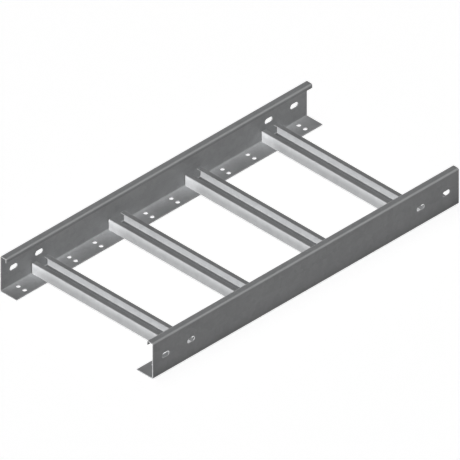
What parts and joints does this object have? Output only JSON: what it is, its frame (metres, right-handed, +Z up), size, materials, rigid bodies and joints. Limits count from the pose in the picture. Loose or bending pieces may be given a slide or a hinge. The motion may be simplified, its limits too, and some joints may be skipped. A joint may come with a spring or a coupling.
{
  "type": "cable ladder section",
  "caption": "Open section of cable ladder: two folded steel side rails with inward flanges, slotted at the ends, joined by upward-open channel rungs.",
  "frame": {"origin": "middle of the underside, in the plane that the base flanges rest on", "axes": "+X along the side rails, +Y across the ladder from the left rail to the right, +Z up"},
  "size_m": [0.6, 0.3, 0.06],
  "materials": {
    "galvanised_steel": "zinc-coated sheet steel, dull grey with a faint spangle, satin"
  },
  "bodies": {
    "root": {"side_rail_left": "galvanised_steel", "side_rail_right": "galvanised_steel", "rung_1": "galvanised_steel", "rung_2": "galvanised_steel", "rung_3": "galvanised_steel", "rung_4": "galvanised_steel"}
  },
  "joints": []
}
